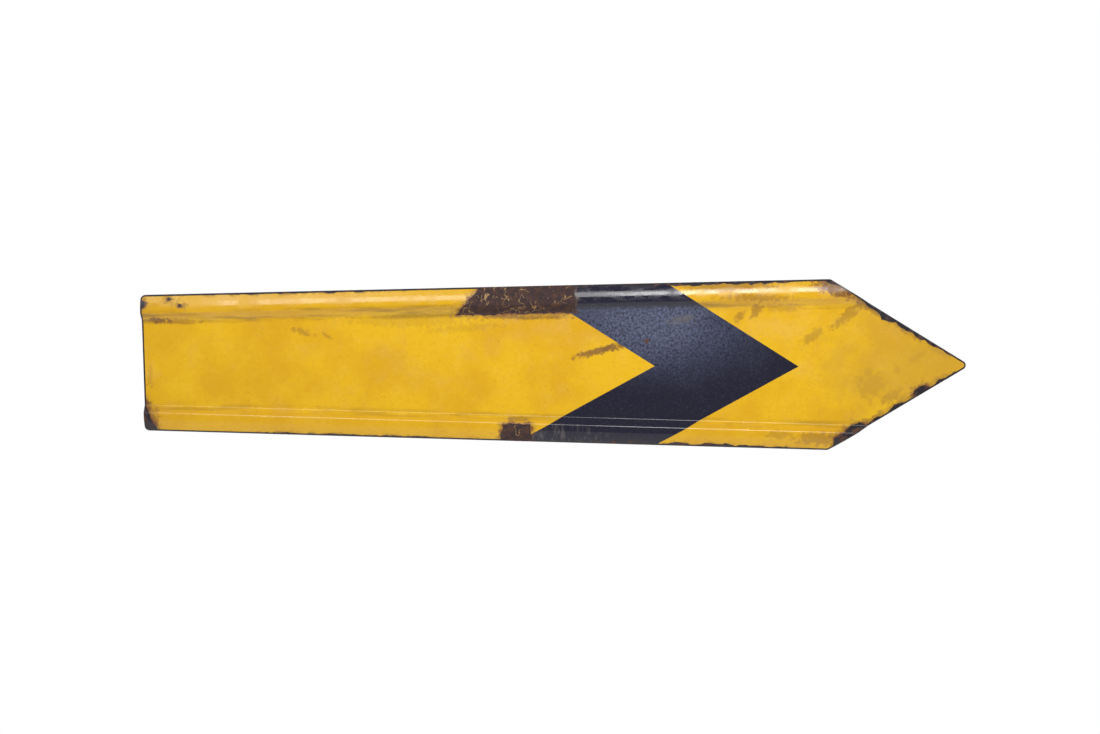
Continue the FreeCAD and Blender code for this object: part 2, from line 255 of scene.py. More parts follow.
@dataclass(frozen=True)
class BladeForm:
    """Sizes of the blade, the same as the model's, in metres and degrees."""

    length: float = 1.200
    shoulder_at: float = 1.000
    root_depth: float = 0.198
    shoulder_depth: float = 0.250
    root_lean: float = 0.0035
    seat_from_root: float = 0.060
    root_corner: float = 0.0065
    shoulder_corner: float = 0.006
    tip_radius: float = 0.0065
    sheet: float = 0.0020
    ground_coat: float = 0.0003
    cover_coat: float = 0.0005
    rim_coat: float = 0.0005
    cover_inset: float = 0.0025
    bead_band: float = 0.0270
    bead_slope: float = 0.0105
    bead_height: float = 0.0085
    lip_rise: float = 0.0012
    crest_bend: float = 0.0050
    field_bend: float = 0.0030
    chevron_at: float = 0.746
    chevron_width: float = 0.210
    chevron_drop: float = 0.0025
    chevron_upper_rise: float = 32.0
    chevron_lower_rise: float = 29.0

    @property
    def root_x(self) -> float:
        """X of the root edge on the centre line."""
        return -self.seat_from_root

    @property
    def thickness(self) -> float:
        """Sheet with all its coats."""
        return self.sheet + 2.0 * (self.ground_coat + self.cover_coat)

    @property
    def taper(self) -> float:
        """Angle of each long edge to the centre line."""
        return math.atan((self.shoulder_depth - self.root_depth) / 2.0 / self.shoulder_at)

    @property
    def slope_angle(self) -> float:
        """Angle of the bead's slope to the field."""
        return math.atan(self.bead_height / self.bead_slope)

    @property
    def crest_from_edge(self) -> float:
        """Finished edge to the top of the arch, where the crest bend begins."""
        return self.bead_band - self.crest_bend * math.tan(self.slope_angle / 2.0)

    @property
    def field_from_edge(self) -> float:
        """Finished edge to where the field is flat."""
        bend = self.field_bend * math.tan(self.slope_angle / 2.0)
        return self.bead_band + self.bead_slope + bend

    @property
    def arch_radius(self) -> float:
        """Radius of the arch from the lip to the crest, on the front."""
        fall = self.bead_height - self.lip_rise
        return (self.crest_from_edge**2 + fall**2) / (2.0 * fall)

    def half_depth(self, x: float) -> float:
        """Centre line to the finished edge at X."""
        return self.root_depth / 2.0 + (x - self.root_x) * math.tan(self.taper)

    def at(self, from_root: float, above: float) -> Point:
        """X and Z, in metres, of a place given in millimetres from the root edge and centre line."""
        return self.root_x + from_root * MM, above * MM

    @property
    def point_normal(self) -> float:
        """Direction of the upper point edge's outward normal, from +X."""
        tip_x = self.root_x + self.length - self.tip_radius
        back = self.root_x + self.shoulder_at - tip_x
        rise = self.shoulder_depth / 2.0
        return math.atan2(rise, back) - math.acos(self.tip_radius / math.hypot(back, rise))

    def corners(self) -> list[Corner]:
        """Corners of the finished outline, counter-clockwise from the foot of the root."""
        lean = math.atan(self.root_lean / self.root_depth)
        root = math.pi + lean
        foot = 1.5 * math.pi - self.taper
        lower = 2.0 * math.pi - self.point_normal
        upper = 2.0 * math.pi + self.point_normal
        top = 2.5 * math.pi + self.taper
        end = 3.0 * math.pi + lean
        foot_x = self.root_x + self.root_lean / 2.0
        top_x = self.root_x - self.root_lean / 2.0
        shoulder = (self.root_x + self.shoulder_at, self.shoulder_depth / 2.0)
        sharp = [
            ((foot_x, -self.half_depth(foot_x)), self.root_corner, root, foot),
            ((shoulder[0], -shoulder[1]), self.shoulder_corner, foot, lower),
            (shoulder, self.shoulder_corner, upper, top),
            ((top_x, self.half_depth(top_x)), self.root_corner, top, end),
        ]
        rounded = []
        for (x, z), radius, start, stop in sharp:
            middle = (start + stop) / 2.0
            reach = radius / math.cos((stop - start) / 2.0)
            centre = (x - reach * math.cos(middle), z - reach * math.sin(middle))
            rounded.append(Corner(centre, radius, start, stop))
        tip_x = self.root_x + self.length - self.tip_radius
        rounded.insert(2, Corner((tip_x, 0.0), self.tip_radius, lower, upper))
        return rounded

    def outline(self, inset: float, steps: int = 8) -> list[Point]:
        """Finished outline drawn in by an inset.

        Args:
            inset: Distance from the finished edge.
            steps: Facets of each rounded corner.

        Returns:
            X and Z of its points, counter-clockwise.
        """
        points = []
        for corner in self.corners():
            for step in range(steps + 1):
                angle = corner.start + (corner.stop - corner.start) * step / steps
                reach = corner.radius - inset
                x = corner.centre[0] + reach * math.cos(angle)
                points.append((x, corner.centre[1] + reach * math.sin(angle)))
        return points

    def chevron_line(self, behind: float) -> list[Point]:
        """Line of the chevron from the top of the blade over its point to the foot.

        Args:
            behind: Distance of the line from the chevron's inner point, towards the tip.
        """
        reach = self.shoulder_depth
        x = self.root_x + self.chevron_at + behind
        z = -self.chevron_drop
        return [
            (x - reach / math.tan(math.radians(self.chevron_upper_rise)), z + reach),
            (x, z),
            (x - reach / math.tan(math.radians(self.chevron_lower_rise)), z - reach),
        ]

    def panel(self, panel: "Panel") -> list[Point]:
        """Outline that takes in one panel of cover enamel.

        Args:
            panel: Which panel.
        """
        far = self.length
        high = self.shoulder_depth
        inner = self.chevron_line(0.0)
        outer = self.chevron_line(self.chevron_width)
        if panel is Panel.ROOT:
            return [*inner, (-far, -high), (-far, high)]
        if panel is Panel.CHEVRON:
            return [*outer, *reversed(inner)]
        return [*reversed(outer), (2.0 * far, high), (2.0 * far, -high)]

    def along_edge(self, edge: Edge, along: float, inwards: float) -> Point:
        """X and Z of a point near an edge.

        Args:
            edge: Which edge.
            along: Distance along it, from its end nearer the root or from its top.
            inwards: Distance from it into the blade.
        """
        up = 1.0 if edge in (Edge.TOP, Edge.UPPER_POINT) else -1.0
        if edge is Edge.ROOT:
            return self.root_x + inwards, self.root_depth / 2.0 - along
        if edge in (Edge.TOP, Edge.FOOT):
            start = (self.root_x, up * self.root_depth / 2.0)
            run = (math.cos(self.taper), up * math.sin(self.taper))
            out = (-math.sin(self.taper), up * math.cos(self.taper))
        else:
            start = (self.root_x + self.shoulder_at, up * self.shoulder_depth / 2.0)
            run = (math.sin(self.point_normal), -up * math.cos(self.point_normal))
            out = (math.cos(self.point_normal), up * math.sin(self.point_normal))
        return (
            start[0] + along * run[0] - inwards * out[0],
            start[1] + along * run[1] - inwards * out[1],
        )


@dataclass(frozen=True)
class Layer:
    """One layer of the wall: its front face above the flat back, its thickness and its inset."""

    front: float
    thickness: float
    inset: float


@dataclass(frozen=True)
class PressedSheet:
    """Maker of one layer of the pressing: the flat field with a bead along each long edge."""

    form: BladeForm
    layer: Layer
    length_cuts: int = 99
    field_cuts: int = 11
    bend_steps: int = 6
    arch_steps: int = 9
    margin: float = 0.012

    def build(self) -> bpy.types.Object:
        """Closed body of the layer, trimmed to its outline."""
        sheet = self._half_profile()
        self._divide_lengthwise(sheet)
        self._lay_along_edge(sheet)
        with editing(sheet):
            bpy.ops.mesh.select_all(action="SELECT")
            bpy.ops.mesh.bisect(
                plane_co=(0.0, 0.0, 0.0), plane_no=(0.0, 0.0, 1.0), clear_inner=True
            )
        apply_modifier(
            sheet, "MIRROR", use_axis=(False, False, True), use_clip=True, merge_threshold=MERGE
        )
        self._face_front(sheet)
        apply_modifier(
            sheet, "SOLIDIFY", thickness=self.layer.thickness, offset=-1.0, use_even_offset=True
        )
        trimmer = prism(self.form.outline(self.layer.inset))
        carve(sheet, trimmer, "INTERSECT")
        discard(trimmer)
        return sheet

    def _half_profile(self) -> bpy.types.Object:
        """Sweep of the upper half's profile, with the finished edge along the X axis."""
        form = self.form
        behind = form.thickness - self.layer.front
        run = form.length / math.cos(form.taper) + 2.0 * self.margin
        field_depth = form.shoulder_depth / 2.0
        middle = (
            run / 2.0 - self.margin,
            -self.layer.front,
            -form.field_from_edge - field_depth / 2.0,
        )
        bpy.ops.mesh.primitive_plane_add(size=1.0, location=middle, rotation=(math.pi / 2, 0, 0))
        sheet = bpy.context.object
        sheet.scale = (run, field_depth, 1.0)
        settle_place(sheet)

        top = -form.field_from_edge
        select_edges(sheet, lambda a, b: abs(a.z - b.z) > field_depth / 2.0)
        with editing(sheet, "EDGE"):
            bpy.ops.mesh.subdivide(number_cuts=self.field_cuts)
        select_edges(sheet, lambda a, b: min(a.z, b.z) > top - FINE_MERGE)

        angle = form.slope_angle
        lean = Vector((0.0, -math.cos(angle), -math.sin(angle)))
        crest_y = -(form.thickness + form.bead_height)
        foot_centre = Vector((0.0, -(form.thickness + form.field_bend), top))
        crest_centre = Vector((0.0, crest_y + form.crest_bend, -form.crest_from_edge))
        arch_centre = Vector((0.0, crest_y + form.arch_radius, -form.crest_from_edge))
        slope_foot = foot_centre - lean * (form.field_bend + behind)
        slope_top = crest_centre + lean * (form.crest_bend - behind)
        arch_turn = math.asin((form.crest_from_edge + self.margin) / (form.arch_radius - behind))
        axis = (1.0, 0.0, 0.0)
        with editing(sheet, "EDGE"):
            bpy.ops.mesh.spin(steps=self.bend_steps, angle=-angle, center=foot_centre, axis=axis)
            bpy.ops.mesh.extrude_edges_move(
                TRANSFORM_OT_translate={"value": slope_top - slope_foot}
            )
            bpy.ops.mesh.spin(steps=self.bend_steps, angle=angle, center=crest_centre, axis=axis)
            bpy.ops.mesh.spin(steps=self.arch_steps, angle=arch_turn, center=arch_centre, axis=axis)
            bpy.ops.mesh.select_all(action="SELECT")
            bpy.ops.mesh.remove_doubles(threshold=FINE_MERGE)
        return sheet

    def _divide_lengthwise(self, sheet: bpy.types.Object) -> None:
        """Divide every edge that runs along the blade."""
        select_edges(sheet, lambda a, b: abs(a.x - b.x) > self.form.length / 2.0)
        with editing(sheet, "EDGE"):
            bpy.ops.mesh.subdivide(number_cuts=self.length_cuts)

    def _lay_along_edge(self, sheet: bpy.types.Object) -> None:
        """Turn the swept half so that its outer side lies along the blade's upper edge."""
        sheet.rotation_euler = (0.0, -self.form.taper, 0.0)
        sheet.location = (self.form.root_x, 0.0, self.form.root_depth / 2.0)
        settle_place(sheet)

    def _face_front(self, sheet: bpy.types.Object) -> None:
        """Merge what meets and turn every face to the front."""
        with editing(sheet):
            bpy.ops.mesh.select_all(action="SELECT")
            bpy.ops.mesh.remove_doubles(threshold=MERGE)
            bpy.ops.mesh.normals_make_consistent(inside=False)
        largest = max(sheet.data.polygons, key=lambda polygon: polygon.area)
        if largest.normal.y > 0.0:
            with editing(sheet):
                bpy.ops.mesh.select_all(action="SELECT")
                bpy.ops.mesh.flip_normals()


# ---------------------------------------------------------------- damage


@dataclass(frozen=True)
class Chip:
    """Enamel broken out of a coat, with an outline in millimetres from root edge and centre line."""

    outline: tuple[Point, ...]
    ragged: float = 1.0
    bare: bool = False


@dataclass(frozen=True)
class Spot:
    """Round chip: its centre and radius in millimetres, and how much longer it is than high."""

    from_root: float
    above: float
    radius: float
    stretch: float = 1.0
    ragged: float = 0.5
    bare: bool = False

    def chip(self, form: BladeForm) -> Chip:
        """The round chip's outline.

        Args:
            form: Not needed by a round chip; taken so that every loss is called alike.
        """
        count = max(10, round(self.radius * 2.0))
        turns = [2.0 * math.pi * step / count for step in range(count)]
        outline = tuple(
            (
                self.from_root + self.radius * self.stretch * math.cos(turn),
                self.above + self.radius * math.sin(turn),
            )
            for turn in turns
        )
        return Chip(outline, self.ragged, self.bare)


@dataclass(frozen=True)
class EdgeLoss:
    """Four-sided loss along an edge, in millimetres; each end may lean towards the other."""

    edge: Edge
    start: float
    length: float
    reach: float
    root_slant: float = 0.0
    tip_slant: float = 0.0
    ragged: float = 1.0
    bare: bool = False
    overhang: float = 10.0

    def chip(self, form: BladeForm) -> Chip:
        """The loss's outline, from the outer side round over the inner side."""
        stop = self.start + self.length
        outer_start = self.start + max(0.0, self.root_slant)
        inner_start = self.start - min(0.0, self.root_slant)
        corners = [
            (outer_start, -self.overhang),
            (stop, -self.overhang),
            (stop - self.tip_slant, self.reach),
            (inner_start, self.reach),
        ]
        places = [form.along_edge(self.edge, along * MM, inwards * MM) for along, inwards in corners]
        return Chip(tuple(((x - form.root_x) / MM, z / MM) for x, z in places), self.ragged, self.bare)


@dataclass(frozen=True)
class EdgeWear:
    """Enamel worn away along a stretch of an edge, in millimetres."""

    edge: Edge
    start: float
    stop: float
    depth: float
    seed: float
    ragged: float = 0.6
    spacing: float = 5.0

    def chip(self, form: BladeForm) -> Chip:
        """The worn stretch as a chip, its depth rising and falling along the edge."""
        count = max(2, round((self.stop - self.start) / self.spacing))
        inner = []
        for step in range(count + 1):
            along = self.start + (self.stop - self.start) * step / count
            wave = noise.noise(Vector((along / 22.0, self.seed, 0.0)))
            ripple = noise.noise(Vector((along / 7.0, self.seed, 5.0)))
            fade = min(1.0, 0.25 + 3.0 * min(step, count - step) / count)
            depth = max(0.3, self.depth * (1.0 + 1.1 * wave + 0.6 * ripple)) * fade
            inner.append(form.along_edge(self.edge, along * MM, depth * MM))
        outside = -8.0 * MM
        outer = [
            form.along_edge(self.edge, self.stop * MM, outside),
            form.along_edge(self.edge, self.start * MM, outside),
        ]
        points = tuple(((x - form.root_x) / MM, z / MM) for x, z in inner + outer)
        return Chip(points, ragged=self.ragged)


@dataclass(frozen=True)
class Damage:
    """All the damage of one face of the blade."""

    form: BladeForm
    chips: tuple[Chip, ...]
    wear: tuple[EdgeWear, ...]
    step: float = 1.3

    def all_chips(self) -> list[Chip]:
        """Chips and worn edges together."""
        return [*self.chips, *(worn.chip(self.form) for worn in self.wear)]

    def ragged_outline(self, chip: Chip, shrink: float = 0.0) -> list[Point]:
        """Outline of a chip in metres, broken up at the grain of brittle enamel.

        Args:
            chip: The chip.
            shrink: Distance in millimetres by which the outline is drawn in.

        Returns:
            X and Z of the outline's points.
        """
        corners = [Vector(point) for point in chip.outline]
        middle = sum(corners, Vector((0.0, 0.0))) / len(corners)
        points = []
        for index, corner in enumerate(corners):
            following = corners[(index + 1) % len(corners)]
            count = max(1, round((following - corner).length / self.step))
            for part in range(count):
                spot = corner.lerp(following, part / count)
                coarse = noise.noise_vector(Vector((spot.x / 9.0, spot.y / 9.0, 1.0)))
                fine = noise.noise_vector(Vector((spot.x / 2.6, spot.y / 2.6, 7.0)))
                spot = spot + chip.ragged * (1.3 * coarse.xy + 0.45 * fine.xy)
                inwards = middle - spot
                if shrink and inwards.length > shrink:
                    spot = spot + inwards.normalized() * shrink
                points.append(self.form.at(spot.x, spot.y))
        return points

    def cutter(self, bare_only: bool = False) -> Optional[bpy.types.Object]:
        """Prisms through the whole blade over the chips, joined; None if there are none.

        Args:
            bare_only: Only the chips that reach the steel, a little smaller, so that a rim of
                ground coat is left round them.
        """
        prisms = []
        for chip in self.all_chips():
            if bare_only and not chip.bare:
                continue
            prisms.append(prism(self.ragged_outline(chip, 1.2 if bare_only else 0.0)))
        return join(prisms) if prisms else None

    def _tree(self, chips: Sequence[Chip]) -> KDTree:
        """Search tree of the outlines of some chips."""
        points = [point for chip in chips for point in self.ragged_outline(chip)]
        tree = KDTree(len(points))
        for index, (x, z) in enumerate(points):
            tree.insert((x, 0.0, z), index)
        tree.balance()
        return tree

    def mark_nearness(self, piece: bpy.types.Object, reach: float = 5.0) -> None:
        """Store on each vertex how near it is to broken enamel, for the rust that creeps from it.

        Args:
            piece: The finished coat.
            reach: Distance in millimetres over which the value falls to a third.
        """
        broken = self._tree(self.chips)
        worn = self._tree([stretch.chip(self.form) for stretch in self.wear])
        values = []
        for vertex in piece.data.vertices:
            spot = (vertex.co.x, 0.0, vertex.co.z)
            near = math.exp(-broken.find(spot)[2] / (reach * MM))
            along = 0.55 * math.exp(-worn.find(spot)[2] / (0.4 * reach * MM))
            values.append(max(near, along))
        attribute = piece.data.attributes.new("nearness", "FLOAT", "POINT")
        attribute.data.foreach_set("value", values)


def front_damage(form: BladeForm) -> Damage:
    """Damage on the front: two rusted stretches of bead, chipped corners and worn edges."""
    losses = (
        EdgeLoss(Edge.TOP, 455, 175, 40, root_slant=45, ragged=1.8, bare=True),
        EdgeLoss(Edge.FOOT, 520, 50, 26, root_slant=-5, tip_slant=5, ragged=2.0, bare=True),
        EdgeLoss(Edge.FOOT, -10, 35, 45, tip_slant=25),
        EdgeLoss(Edge.LOWER_POINT, 5, 70, 12, root_slant=-10, tip_slant=15, ragged=1.4),
        Spot(0, 85, 6),
        Spot(40, 93, 2.5, ragged=0.3),
        Spot(56, 84, 2.5, ragged=0.3),
        Spot(1140, -46, 16),
        Spot(1012, 126, 10, stretch=2.0),
    )
    return Damage(
        form,
        chips=tuple(loss.chip(form) for loss in losses),
        wear=(
            EdgeWear(Edge.TOP, 635, 985, 4.2, 1.0, ragged=0.4),
            EdgeWear(Edge.TOP, 30, 440, 2.6, 2.0, ragged=0.3),
            EdgeWear(Edge.FOOT, 110, 515, 3.0, 3.0, ragged=0.5),
            EdgeWear(Edge.FOOT, 580, 985, 4.2, 4.0, ragged=0.4),
            EdgeWear(Edge.UPPER_POINT, 35, 210, 6.0, 5.0, ragged=0.3),
            EdgeWear(Edge.LOWER_POINT, 62, 138, 4.4, 6.0, ragged=0.3),
            EdgeWear(Edge.LOWER_POINT, 182, 226, 4.0, 7.0, ragged=0.3),
        ),
    )


def back_damage(form: BladeForm) -> Damage:
    """Damage on the back: knocked corners, one rusted patch and worn edges."""
    losses = (
        EdgeLoss(Edge.TOP, -10, 40, 35, tip_slant=30, ragged=1.2),
        EdgeLoss(Edge.FOOT, -10, 25, 22, tip_slant=12),
        EdgeLoss(Edge.TOP, 462, 110, 28, root_slant=-15, tip_slant=25, ragged=1.8, bare=True),
        Spot(330, -25, 6, stretch=1.3, ragged=0.8),
        EdgeLoss(Edge.UPPER_POINT, 150, 55, 12, root_slant=-12, tip_slant=14),
    )
    return Damage(
        form,
        chips=tuple(loss.chip(form) for loss in losses),
        wear=(
            EdgeWear(Edge.TOP, 60, 440, 2.8, 11.0),
            EdgeWear(Edge.TOP, 600, 970, 4.4, 12.0),
            EdgeWear(Edge.FOOT, 40, 980, 3.6, 13.0),
            EdgeWear(Edge.UPPER_POINT, 14, 120, 5.0, 14.0),
            EdgeWear(Edge.LOWER_POINT, 10, 215, 5.0, 15.0),
        ),
    )


# ---------------------------------------------------------------- finishes


def linear(hex_colour: str) -> tuple[float, float, float, float]:
    """Linear colour of an sRGB hex value."""
    parts = [int(hex_colour[i : i + 2], 16) / 255.0 for i in (1, 3, 5)]
    parts = [p / 12.92 if p <= 0.04045 else ((p + 0.055) / 1.055) ** 2.4 for p in parts]
    return (*parts, 1.0)


def add_node(
    tree: bpy.types.NodeTree, kind: str, inputs: Optional[dict] = None, **settings: Any
) -> bpy.types.Node:
    """Add a node with its settings, values and links.

    Args:
        tree: The node tree.
        kind: The node's type.
        inputs: Value or linked socket for each input, by name or number.
        **settings: The node's properties.

    Returns:
        The node.
    """
    node = tree.nodes.new(kind)
    for name, value in settings.items():
        setattr(node, name, value)
    for key, value in (inputs or {}).items():
        if isinstance(value, bpy.types.NodeSocket):
            tree.links.new(value, node.inputs[key])
        else:
            node.inputs[key].default_value = value
    return node


class Graph:
    """Node tree of one finish, with the coordinates that its patterns share."""

    def __init__(self, name: str) -> None:
        """Start an empty material with a shader.

        Args:
            name: The material's name.
        """
        self.material = bpy.data.materials.new(name)
        self.material.use_nodes = True
        self.tree = self.material.node_tree
        self.tree.nodes.clear()
        self.shader = self.add("ShaderNodeBsdfPrincipled")
        self.add("ShaderNodeOutputMaterial", {"Surface": self.shader.outputs[0]})
        self.place = self.add("ShaderNodeTexCoord").outputs["Object"]

    def add(self, kind: str, inputs: Optional[dict] = None, **settings: Any) -> bpy.types.Node:
        """Add a node to this finish; see add_node."""
        return add_node(self.tree, kind, inputs, **settings)

    def cloud(
        self,
        size: float,
        low: float,
        high: float,
        detail: float = 4.0,
        stretch: tuple[float, float, float] = (1.0, 1.0, 1.0),
        seed: float = 0.0,
    ) -> bpy.types.NodeSocket:
        """Patches of a cloudy pattern, 0 to 1.

        Args:
            size: Typical patch size in millimetres.
            low: Noise value that gives 0.
            high: Noise value that gives 1.
            detail: Octaves of finer noise.
            stretch: How much longer the patches are along each axis.
            seed: Shift that makes one pattern differ from another.
        """
        scale = tuple(1.0 / (size * MM * s) for s in stretch)
        spot = self.add(
            "ShaderNodeMapping",
            {"Vector": self.place, "Scale": scale, "Location": (seed, seed * 1.7, seed * 0.6)},
        )
        pattern = self.add(
            "ShaderNodeTexNoise",
            {"Vector": spot.outputs[0], "Scale": 1.0, "Detail": detail, "Roughness": 0.6},
        )
        return self.add(
            "ShaderNodeMapRange",
            {"Value": pattern.outputs[0], "From Min": low, "From Max": high},
            interpolation_type="SMOOTHSTEP",
        ).outputs[0]

    def mark(
        self,
        centre: Point,
        size: Point,
        turn: float = 0.0,
        ragged: float = 0.5,
        grain: float = 6.0,
        soft: float = 0.45,
    ) -> bpy.types.NodeSocket:
        """Soft mark with a broken outline at one place on the blade, 0 to 1.

        Args:
            centre: X and Z of its middle, in metres.
            size: Half its length and half its width, in millimetres.
            turn: Degrees by which its length rises from X.
            ragged: How far the pattern breaks up its outline.
            grain: Size of that pattern in millimetres.
            soft: Share of the size over which the mark fades in.
        """
        spot = self.add(
            "ShaderNodeMapping",
            {
                "Vector": self.place,
                "Location": (centre[0], 0.0, centre[1]),
                "Rotation": (0.0, -math.radians(turn), 0.0),
                "Scale": (size[0] * MM, 1.0, size[1] * MM),
            },
            vector_type="TEXTURE",
        )
        fall = self.add("ShaderNodeTexGradient", {"Vector": spot.outputs[0]}, gradient_type="SPHERICAL")
        broken = self.cloud(grain, 0.3, 0.7, seed=centre[0] * 10.0)
        lowered = self.add(
            "ShaderNodeMath", {0: broken, 1: -ragged, 2: fall.outputs["Fac"]}, operation="MULTIPLY_ADD"
        )
        return self.add(
            "ShaderNodeMapRange",
            {"Value": lowered.outputs[0], "From Min": 0.0, "From Max": soft},
            interpolation_type="SMOOTHSTEP",
        ).outputs[0]

    def paint(
        self,
        under: Any,
        colour: str,
        mask: bpy.types.NodeSocket,
        strength: float = 1.0,
    ) -> bpy.types.NodeSocket:
        """Lay a colour over another through a mask.

        Args:
            under: Colour socket or value underneath.
            colour: sRGB hex value of the colour on top.
            mask: Where it lies, 0 to 1.
            strength: How much of it there is at 1.
        """
        amount = self.add("ShaderNodeMath", {0: mask, 1: strength}, operation="MULTIPLY")
        return self.add(
            "ShaderNodeMix",
            {0: amount.outputs[0], 6: under, 7: linear(colour)},
            data_type="RGBA",
        ).outputs[2]

    def both(self, first: Any, second: Any, operation: str = "MULTIPLY") -> bpy.types.NodeSocket:
        """Combine two masks with an operation, kept between 0 and 1."""
        return self.add(
            "ShaderNodeMath", {0: first, 1: second}, operation=operation, use_clamp=True
        ).outputs[0]

    def edge_distance(self, form: BladeForm, side: float) -> bpy.types.NodeSocket:
        """Distance in millimetres from a long edge into the blade.

        Args:
            form: The blade's sizes.
            side: 1 for the top edge, -1 for the foot.
        """
        place = self.add("ShaderNodeSeparateXYZ", {0: self.place})
        slope = math.tan(form.taper) / MM
        start = (form.root_depth / 2.0 - form.root_x * math.tan(form.taper)) / MM
        half = self.add(
            "ShaderNodeMath", {0: place.outputs[0], 1: slope, 2: start}, operation="MULTIPLY_ADD"
        )
        return self.add(
            "ShaderNodeMath",
            {0: place.outputs[2], 1: -side / MM, 2: half.outputs[0]},
            operation="MULTIPLY_ADD",
        ).outputs[0]

    def band(
        self, distance: bpy.types.NodeSocket, start: float, stop: float, soft: float
    ) -> bpy.types.NodeSocket:
        """Band between two distances with soft sides, 0 to 1.

        Args:
            distance: Distance socket, in millimetres.
            start: Where the band begins.
            stop: Where it ends.
            soft: Width of each soft side.
        """
        rise = self.add(
            "ShaderNodeMapRange",
            {"Value": distance, "From Min": start - soft, "From Max": start},
            interpolation_type="SMOOTHSTEP",
        )
        fall = self.add(
            "ShaderNodeMapRange",
            {"Value": distance, "From Min": stop + soft, "From Max": stop},
            interpolation_type="SMOOTHSTEP",
        )
        return self.both(rise.outputs[0], fall.outputs[0])

    def creep(self, low: float, high: float, seed: float) -> bpy.types.NodeSocket:
        """Rust that creeps from broken enamel, broken up by a cloud, 0 to 1.

        Args:
            low: Nearness that gives 0 where the cloud is thin.
            high: Nearness that gives 1 where the cloud is thick.
            seed: Shift of the cloud.
        """
        near = self.add("ShaderNodeAttribute", attribute_name="nearness").outputs["Fac"]
        broken = self.cloud(7.0, 0.3, 0.7, seed=seed)
        total = self.add(
            "ShaderNodeMath", {0: broken, 1: 0.55, 2: near}, operation="MULTIPLY_ADD"
        )
        return self.add(
            "ShaderNodeMapRange",
            {"Value": total.outputs[0], "From Min": low, "From Max": high},
            interpolation_type="SMOOTHSTEP",
        ).outputs[0]

    def relief(self, steps: Sequence[tuple[float, float, float]]) -> bpy.types.NodeSocket:
        """Bump made of noise at several sizes.

        Args:
            steps: Size and height in millimetres and octaves of each noise.

        Returns:
            The normal socket.
        """
        normal = None
        for size, height, detail in steps:
            pattern = self.add(
                "ShaderNodeTexNoise",
                {"Vector": self.place, "Scale": 1.0 / (size * MM), "Detail": detail},
            )
            inputs = {"Height": pattern.outputs[0], "Distance": height * MM, "Strength": 1.0}
            if normal is not None:
                inputs["Normal"] = normal
            normal = self.add("ShaderNodeBump", inputs).outputs[0]
        return normal

    def finish(
        self,
        colour: bpy.types.NodeSocket,
        roughness: bpy.types.NodeSocket,
        normal: bpy.types.NodeSocket,
        ior: float,
    ) -> bpy.types.Material:
        """Link the shader and return the material.

        Args:
            colour: Base colour.
            roughness: Roughness.
            normal: Surface normal.
            ior: Index of refraction.
        """
        self.shader.inputs["IOR"].default_value = ior
        self.tree.links.new(colour, self.shader.inputs["Base Color"])
        self.tree.links.new(roughness, self.shader.inputs["Roughness"])
        self.tree.links.new(normal, self.shader.inputs["Normal"])
        return self.material


GLASS_IOR = 1.5
ORANGE_PEEL = ((70.0, 0.30, 1.0), (5.0, 0.035, 2.0), (1.6, 0.006, 2.0))


